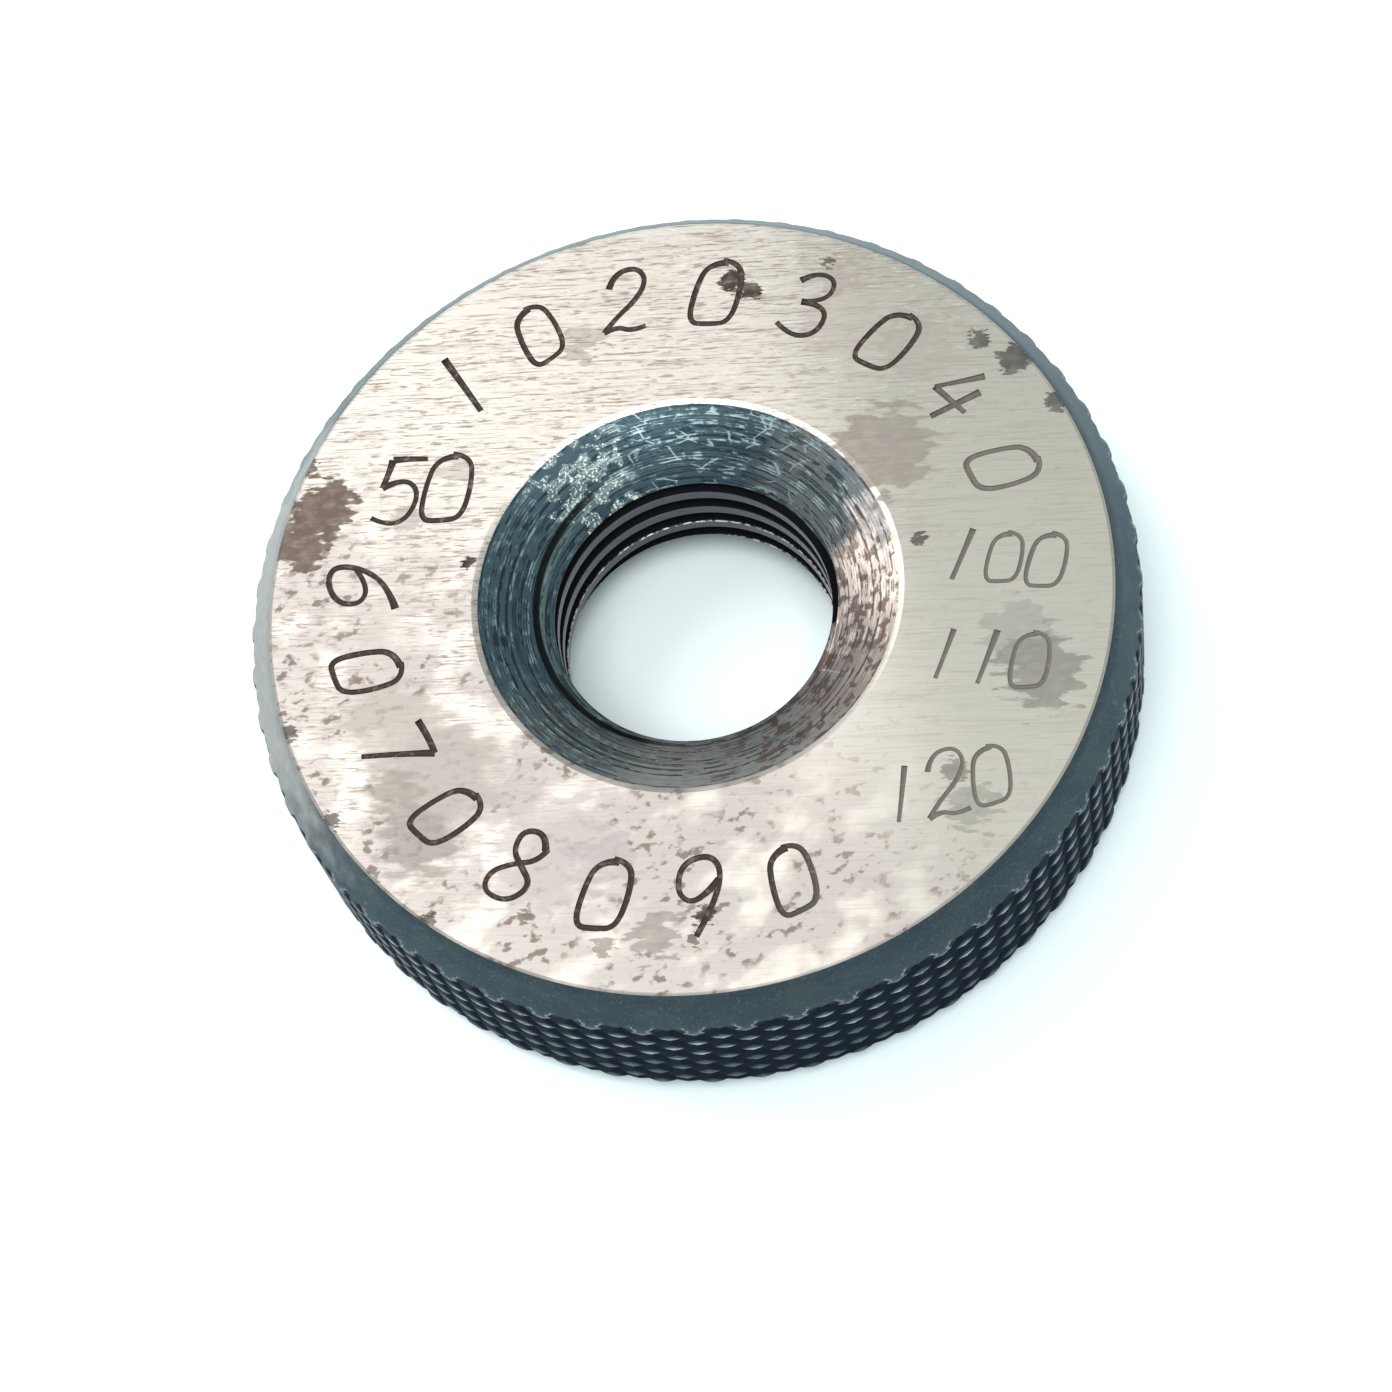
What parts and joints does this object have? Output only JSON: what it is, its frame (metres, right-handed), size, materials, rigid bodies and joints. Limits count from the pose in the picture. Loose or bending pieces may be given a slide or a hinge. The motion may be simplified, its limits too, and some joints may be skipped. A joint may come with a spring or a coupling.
{
  "type": "thread ring gauge",
  "caption": "One-piece knurled steel ring with a left-hand internal thread between two countersinks, screwed onto a threaded part to test the size of its thread.",
  "frame": {"origin": "centre of the bottom face, where the gauge rests", "axes": "+Z along the bore's axis, towards the marked face"},
  "size_m": [0.034, 0.034, 0.008],
  "materials": {
    "tool_steel": "hardened tool steel, ground bright on both faces, blackened on the chamfers, the diamond knurl and the countersinks"
  },
  "bodies": {
    "root": {"gauge_ring": "tool_steel"}
  },
  "joints": []
}
